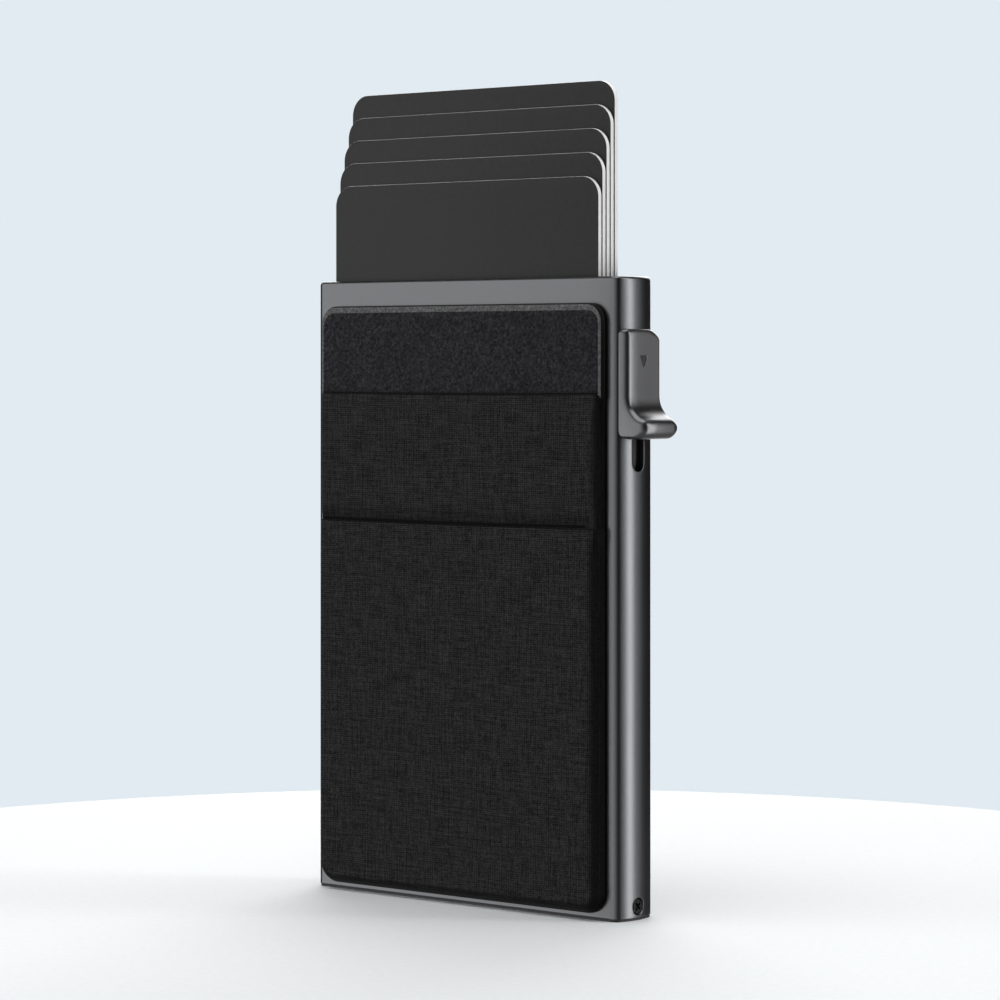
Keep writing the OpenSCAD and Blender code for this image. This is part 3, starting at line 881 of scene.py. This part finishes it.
# %% The arrow is a shallow recess, and the stem runs in the slot
def arrow_patch():
    """Rings from a rectangle of cells to a triangle, down its edge and to the middle of its floor.

    The triangle's radius at an angle is a power mean of its three sides' distances."""
    y, z = rectangle_rim(across[arrow_cols], side_view[arrow_rows, 1])
    centre_z = arrow_top - 0.66
    angle = np.arctan2(z - centre_z, y)
    lean_in = math.radians(22.8)
    sides = ((math.pi / 2, 0.66), (-lean_in, 0.5), (math.pi + lean_in, 0.5))
    facing = [np.clip(np.cos(angle - a), 0, None) / d for a, d in sides]
    radius = sum(f**18 for f in facing) ** (-1 / 18)
    tip_y, tip_z = radius * np.cos(angle), radius * np.sin(angle)
    half_y, half_z = 0.5 * (y + tip_y), 0.5 * (z + centre_z + tip_z)
    out = [np.stack([face_at(y), y, z], -1), np.stack([face_at(half_y), half_y, half_z], -1)]
    for grow, down in ((1.08, 0), (1.0, 0.03), (0.94, 0.12), (0.8, 0.15), (0.4, 0.15), (0, 0.15)):
        ring_y, ring_z = grow * tip_y, centre_z + grow * tip_z
        out.append(np.stack([face_at(ring_y) - down, ring_y, ring_z], -1))
    return np.array(out), grid_faces(len(out), len(y), wrap_cols=True)


def stem():
    """An upright bar with round ends in plan, from the carriage to inside the pad."""
    half, foot, length = 1.25, slide_foot + 2.75, 7.1
    angle = arc(-180, 180, 40)[:-1]
    y = half * np.cos(angle)
    z = np.where(np.sin(angle) > 0, foot + length - half, foot + half) + half * np.sin(angle)
    x = np.array([slide_low[0], slide_low[0], case_high[0] + 0.4, case_high[0] + 0.4])
    shrink = np.array([0, 1, 1, 0])[:, None]
    middle = foot + 0.5 * length
    points = np.stack([np.broadcast_to(x[:, None], (4, 40)), shrink * y,
                       middle + shrink * (z - middle)], -1)
    return points, grid_faces(4, 40, wrap_cols=True)


slide_faces = list(slide_faces[keep_faces.reshape(-1)]) + end_caps(rows, cols)
points, faces = join_parts([(surface, slide_faces), arrow_patch(), stem()])
thumb_slide = make_piece("thumb_slide_shell", points, faces, "slide_body",
                         slide_grey, 35)
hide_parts("thumb_slide")
mesh = thumb_slide.data
mesh.materials.append(slide_mark)
centres = np.zeros(3 * len(mesh.polygons))
mesh.polygons.foreach_get("center", centres)
centres = centres.reshape(-1, 3) / MM
sunk = face_at(centres[:, 1]) - centres[:, 0]
in_arrow = (sunk > 0.01) & (sunk < 0.2) & (np.abs(centres[:, 1]) < 1)
in_arrow &= np.abs(centres[:, 2] - arrow_top + 0.9) < 1.3
mesh.polygons.foreach_set("material_index", in_arrow.astype(np.int32))
print("arrow faces:", int(in_arrow.sum()))

# %% [markdown]
# ## Cards
#
# Die-cut plastic with a rounded outline: a plate whose outline is a rounded rectangle and
# whose thin edges are eased a few hundredths, so they catch the light as a hairline.

# %% Plates
def plate(outline, y_front, y_back, ease, steps=3, back_ease=None):
    """A flat plate: the outline inset at both faces by an eased edge, and closed by two caps."""
    back_ease = ease if back_ease is None else back_ease
    out = outward_of(outline)
    turn = arc(0, 90, steps)
    inset = np.concatenate([ease * (1 - np.sin(turn)), back_ease * (1 - np.sin(turn[::-1]))])
    y = np.concatenate([y_front + ease * (1 - np.cos(turn)),
                        y_back - back_ease * (1 - np.cos(turn[::-1]))])
    loop = outline[None] - inset[:, None, None] * out[None]
    points = np.stack([loop[..., 0], np.broadcast_to(y[:, None], loop.shape[:2]), loop[..., 1]], -1)
    size = points.shape[:2]
    return points, list(grid_faces(*size, wrap_cols=True)) + end_caps(*size)


def rounded_rectangle(low, high, radius, steps=12):
    """Anticlockwise outline of a rectangle with rounded corners."""
    corners = [(low[0], low[1]), (high[0], low[1]), (high[0], high[1]), (low[0], high[1])]
    radii = radius if isinstance(radius, list) else [radius] * 4
    return np.concatenate(rounded(corners, radii, steps))


for number in range(1, 6):
    low, high = box_mm(f"card_{number}")
    outline = rounded_rectangle(low[[0, 2]], high[[0, 2]], 3.18, 16)
    points, faces = plate(outline, low[1], high[1], 0.07)
    card = make_piece(f"card_{number}_sheet", points, faces,
                      f"card_{number}_body", card_black, 40)
    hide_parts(f"card_{number}")

# %% [markdown]
# ## The pad
#
# On the real wallet a stiff padded board is glued to the front of the case. Its edge is
# wrapped in a grey speckled foam, a strip of suede shows at its top, and two pieces of
# stretch fabric are pulled over it from below and wrapped round its sides. Their hemmed
# mouths make two pockets. Here the board is a core that the cloth covers, and a band above
# the mouth that shows its rim.

# %% Board and suede panel
board_low, board_high = box_mm("pad_board")
inner_low, inner_high = box_mm("inner_pocket")
outer_low, outer_high = box_mm("outer_pocket")
pad_r = 3.0
board_front = board_low[1] - 0.22
pad_left, pad_right = board_low[0] - 0.05, board_high[0] - 0.08
core = rounded_rectangle((pad_left + 0.5, board_low[2] + 0.5), (pad_right - 0.5, inner_high[2]),
                         [pad_r, pad_r, 0.5, 0.5], 12)
points, faces = plate(core, board_front + 0.45, board_high[1], 0.9, 6, 0.1)
pad_core = make_piece("pad_core", points, faces, "case_body", felt, 60)
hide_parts("pad_board")

band = rounded_rectangle((pad_left, inner_high[2] - 0.5), (pad_right, board_high[2]),
                         [0.3, 0.3, pad_r, pad_r], 14)
points, faces = plate(band, board_front, board_high[1], 0.55, 6, 0.35)
pad_edge = make_piece("pad_edge", points, faces, "case_body", rim_grey, 60)
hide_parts("pad_board")

strip = rounded_rectangle((pad_left + 0.7, inner_high[2] - 1.6),
                          (pad_right - 0.75, board_high[2] - 1.1), [0.3, 0.3, 2, 2.3])
points, faces = plate(strip, board_front - 0.13, board_front + 0.2, 0.12, 5)
make_piece("suede_strip", points, faces, "case_body", suede, 60)

# %% [markdown]
# ### Pockets
#
# Stretched cloth has no slack: it lies flat on the pad and turns over the edge in one even
# curve. So its height above the pad depends only on the distance to the pad's outline, as the
# side of an ellipse. Rows and columns are crowded towards the edges, where the cloth bends.
# At its mouth the cloth turns back on itself as a hem.

# %% Pocket cloth
def across_rows(count_edge=9, count_middle=34, edge=0.16):
    """Positions from -1 to 1, crowded towards both ends."""
    near = edge * (1 - np.cos(np.linspace(0, math.pi / 2, count_edge)))
    middle = np.linspace(-1 + edge, 1 - edge, count_middle)
    return np.concatenate([-1 + near[:-1], middle, 1 - near[::-1][1:]])


def pocket(foot, mouth, half, front, back, rolls, hem, mouth_line, pinch):
    """Centre surface of a pocket's cloth, from the pad's foot up to its mouth and back as a hem.

    rolls are the widths of the turned edge at the left, at the right and below. mouth_line
    lifts the mouth by place across, and pinch draws the cloth in by place and height.
    A row is half*(place) wide; in the lower corners half follows the corner's circle. The
    height above the back is H*sqrt(1 - (1 - d/roll)^2) at a distance d from the outline."""
    s = across_rows()
    middle = 0.5 * (pad_left + pad_right)
    up = np.concatenate([
        foot + pad_r * (1 - np.cos(np.linspace(0, math.pi / 2, 12))),
        np.linspace(foot + pad_r, mouth - hem, 46)[1:],
    ])
    reach = half - pad_r + pad_r * np.sqrt(1 - np.clip((foot + pad_r - up) / pad_r, 0, 1) ** 2)
    x = reach[:, None] * s[None]
    z = np.broadcast_to(up[:, None], x.shape).copy()
    beyond_x = np.abs(x) - (half - pad_r)
    beyond_z = (foot + pad_r) - z
    corner = (beyond_x > 0) & (beyond_z > 0)
    distance = np.where(corner, pad_r - np.hypot(beyond_x, beyond_z),
                        np.minimum(half - np.abs(x), z - foot))
    distance = np.clip(distance, 0, None)
    right_roll = rolls[1] + (1.0 - rolls[1]) * smooth(1 - (mouth - z) / 5)
    side_roll = np.where(x < 0, rolls[0], right_roll)
    roll = side_roll + (rolls[2] - side_roll) * smooth(1 - (z - foot) / 6)
    rise = np.sqrt(np.clip(1 - (1 - np.minimum(distance / roll, 1)) ** 2, 0, 1))
    height = back - front
    y = back - height * rise
    t = x / half
    lift = mouth_line(t)
    share = np.clip((z - foot - 8) / (mouth - foot - 8), 0, 1)
    z = z + share * lift
    y = y + pinch(t, z) * rise
    hem_turn = np.linspace(0, math.pi, 9)[1:]
    rim_y = y[-1][None] + hem * (1 - np.cos(hem_turn))[:, None] * rise[-1][None]
    rim_z = z[-1][None] + hem * np.sin(hem_turn)[:, None] * rise[-1][None]
    tail_z = rim_z[-1][None] - np.array([0.8, 1.8, 3.0])[:, None] * rise[-1][None]
    tail_y = np.repeat(rim_y[-1][None], 3, 0)
    x = middle + np.concatenate([x, np.repeat(x[-1][None], 11, 0)])
    y = np.concatenate([y, rim_y, tail_y])
    z = np.concatenate([z, rim_z, tail_z])
    points = np.stack([x, y, z], -1)
    flat = z[: len(up)].max() - foot + hem * math.pi + 3.0
    return points, grid_faces(*x.shape), flat


def cloth(name, shape, node, material):
    """A pocket's cloth given its thickness by Solidify."""
    points, faces, flat = shape
    piece = make_piece(name, points, faces, "case_body",
                       material, 70, closed=False)
    solid = piece.modifiers.new("thickness", "SOLIDIFY")
    solid.thickness = cloth_t * MM
    solid.offset = 0
    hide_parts(node)


cloth_t, tuck = 0.22, 1.3
inner_half = 0.5 * (pad_right - pad_left) - 0.16
inner_shape = pocket(
    board_low[2] - 0.02, inner_high[2], inner_half, inner_low[1] - 0.13 + cloth_t / 2,
    board_high[1] - 0.15, (0.7, 2.2, 1.2), 0.15,
    lambda t: 0.16 * t**2 + 0.06 - 0.35 * smooth((t - 0.95) / 0.06),
    lambda t, z: (0.3 * np.exp(-np.abs(z - outer_high[2]) / 1.3)
                  + 0.1 * np.exp((z - inner_high[2]) / 0.9)),
)
cloth("inner_pocket_cloth", inner_shape, "inner_pocket", weave_lip_shaded)

outer_shape = pocket(
    board_low[2] + 0.1, outer_high[2], inner_half, outer_low[1] + cloth_t / 2,
    board_high[1] - 0.2, (0.8, 2.6, 1.3), 0.2,
    lambda t: -0.2 * (1 - t**2),
    lambda t, z: 0.16 * np.exp((z - outer_high[2]) / 1.1),
)
cloth("outer_pocket_cloth", outer_shape, "outer_pocket", weave)

# %% [markdown]
# ## Return spring
#
# A compression spring of drawn wire with its end turns closed. The wire's centre runs up a
# helix whose pitch is one wire at both ends; a circle is carried along it, turned with the
# helix. On the wallet it shortens as the slide comes down; here it is built at one length.

# %% Return spring
spring_low, spring_high = box_mm("return_spring")
spring_middle = 0.5 * (spring_low + spring_high)


def coil(turns=12, per_turn=30, sides=10, wire=0.13):
    """Tube points: centre on a helix, ring in the plane of its radius and its upright."""
    k = np.linspace(0, 1, turns * per_turn + 1)
    radius = 0.5 * (spring_high[0] - spring_low[0]) - wire
    closed = 1.2 / turns
    pitch = np.where((k < closed) | (k > 1 - closed), 0.32, 1.0)
    rise = np.concatenate([[0], np.cumsum(0.5 * (pitch[1:] + pitch[:-1]))])
    rise = spring_low[2] + wire + rise / rise[-1] * (spring_high[2] - spring_low[2] - 2 * wire)
    angle = k * turns * TAU
    ring = np.linspace(0, TAU, sides, endpoint=False)
    r = radius + wire * np.cos(ring)[None]
    points = np.stack([spring_middle[0] + r * np.cos(angle)[:, None],
                       spring_middle[1] + r * np.sin(angle)[:, None],
                       rise[:, None] + wire * np.sin(ring)[None]], -1)
    faces = list(grid_faces(len(k), sides, wrap_cols=True))
    return points, faces + end_caps(len(k), sides)


points, faces = coil()
spring = make_piece("spring_coil", points, faces, "case_body",
                    strip_steel, 60)
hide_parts("return_spring")
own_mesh(spring)

# %% [markdown]
# ## Parts kept from the model
#
# The parts inside the case have their true shape already and need only a finish.

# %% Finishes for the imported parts
finish = {
    black_nylon: ["bottom_cap", "left_rail", "right_rail", "slide_carriage", "finger_washers"],
    felt: ["felt_strips"],
    turned_steel: ["pivot_pin", "arm_rivet", "drive_pin", "carriage_screws"],
    strip_steel: [f"finger_{number}" for number in range(1, 6)] + ["crank_plate", "drive_rod"],
    tape: ["adhesive_sheet"],
}
for material, names in finish.items():
    for name in names:
        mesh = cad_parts[name].data
        mesh.materials.clear()
        mesh.materials.append(material)
print(sum(map(len, finish.values())), "packed parts finished")

# %% [markdown]
# ## Studio
#
# Polished metal shows its surroundings, so the lights are laid out by where the case reflects
# them: a big softbox at the front left for the flat front, fading to the right in eight
# feathers so that the round corner darkens evenly; a tall narrow one at the rear right that
# draws the bright line down the round side; and two at the rear left for the slide's sweep,
# the rims and the back. Between them it stays dim. A wallet this close to a pale floor would
# mirror it, so the floor shows only to the camera, and the air below the horizon glows
# instead, where only downward-looking views reflect it.

# %% Floor
def by_camera_ray(tree, others, camera_rays, output):
    """One shader for the rays that leave the camera and another one for all others."""
    pick = tree.nodes.new("ShaderNodeMixShader")
    seen = tree.nodes.new("ShaderNodeLightPath").outputs["Is Camera Ray"]
    for socket, value in zip(pick.inputs, (seen, others.outputs[0], camera_rays.outputs[0])):
        tree.links.new(value, socket)
    tree.links.new(pick.outputs["Shader"], tree.nodes[output].inputs["Surface"])


floor_r, floor_sides = 150, 128
angle = np.linspace(0, TAU, floor_sides, endpoint=False)
points = floor_r * MM * np.stack([np.cos(angle), np.sin(angle), 0 * angle], 1)
floor_mesh = bpy.data.meshes.new("floor")
floor_mesh.from_pydata(points.tolist(), [], [list(range(floor_sides))])
floor = bpy.data.objects.new("floor", floor_mesh)
bpy.context.collection.objects.link(floor)
floor_paint, tree, shader, place = new_material("floor_paint", Roughness=0.9)
paper = [(0.3, (0.77, 0.79, 0.80)), (0.7, (0.80, 0.82, 0.83))]
tree.links.new(ramp(tree, noise(tree, place, 900, 2), paper), shader.inputs["Base Color"])
by_camera_ray(tree, tree.nodes.new("ShaderNodeBsdfTransparent"), shader, "Material Output")
floor_mesh.materials.append(floor_paint)
print(f"floor of {floor_r} mm radius")

# %% Softboxes
def softbox(name, azimuth, elevation, distance, width, height, brightness):
    """An area light at an azimuth (from +X towards -Y) and elevation, facing the wallet.

    A softbox's power is its brightness times its area times pi."""
    data = bpy.data.lights.new(name, "AREA")
    data.shape = "RECTANGLE"
    data.size, data.size_y = width, height
    data.energy = brightness * width * height * math.pi
    light = bpy.data.objects.new(name, data)
    a, e = math.radians(azimuth), math.radians(elevation)
    light.location = (distance * math.cos(e) * math.cos(a), -distance * math.cos(e) * math.sin(a),
                      0.05 + distance * math.sin(e))
    light.rotation_euler = (math.pi / 2 - e, 0, math.pi / 2 - a)
    light.visible_camera = False
    bpy.context.collection.objects.link(light)


softbox("front_left", 138, 6, 1.0, 0.62, 1.3, 1.76)
for step, share in enumerate((0.92, 0.87, 0.78, 0.67, 0.55, 0.42, 0.29, 0.16)):
    softbox(f"front_feather_{step + 1}", 110 - 10 * step, 6, 1.0, 0.17, 1.3, 1.6 * share)
softbox("right_rear", -30.5, 0, 0.9, 0.19, 1.3, 6.3)
softbox("right_side", -50, 0, 0.9, 0.12, 1.3, 0.7)
softbox("left_rear", -125, 25, 0.9, 0.9, 0.6, 2.6)
softbox("overhead", 0, 90, 1.2, 1.4, 1.4, 2.4)
softbox("rear", -122, 5, 1.0, 0.6, 1.2, 1.3)

# %% Air: pale behind the object, dim as a light
world = bpy.data.worlds.new("studio")
bpy.context.scene.world = world
world.use_nodes = True
air_tree = world.node_tree
pale = air_tree.nodes["Background"]
pale.inputs["Color"].default_value = (0.76, 0.83, 0.88, 1)
dim = air_tree.nodes.new("ShaderNodeBackground")
height = zero_to_one(air_tree, coordinate(air_tree, "Generated", "Z"))
glow = ramp(air_tree, height, [(0.30, 0.34), (0.38, 0.22), (0.44, 0.02), (1.0, 0.02)])
air_tree.links.new(glow, dim.inputs["Color"])
by_camera_ray(air_tree, dim, pale, "World Output")
bpy.context.scene.view_settings.view_transform = "Standard"
print("air:", pale.inputs["Color"].default_value[:])
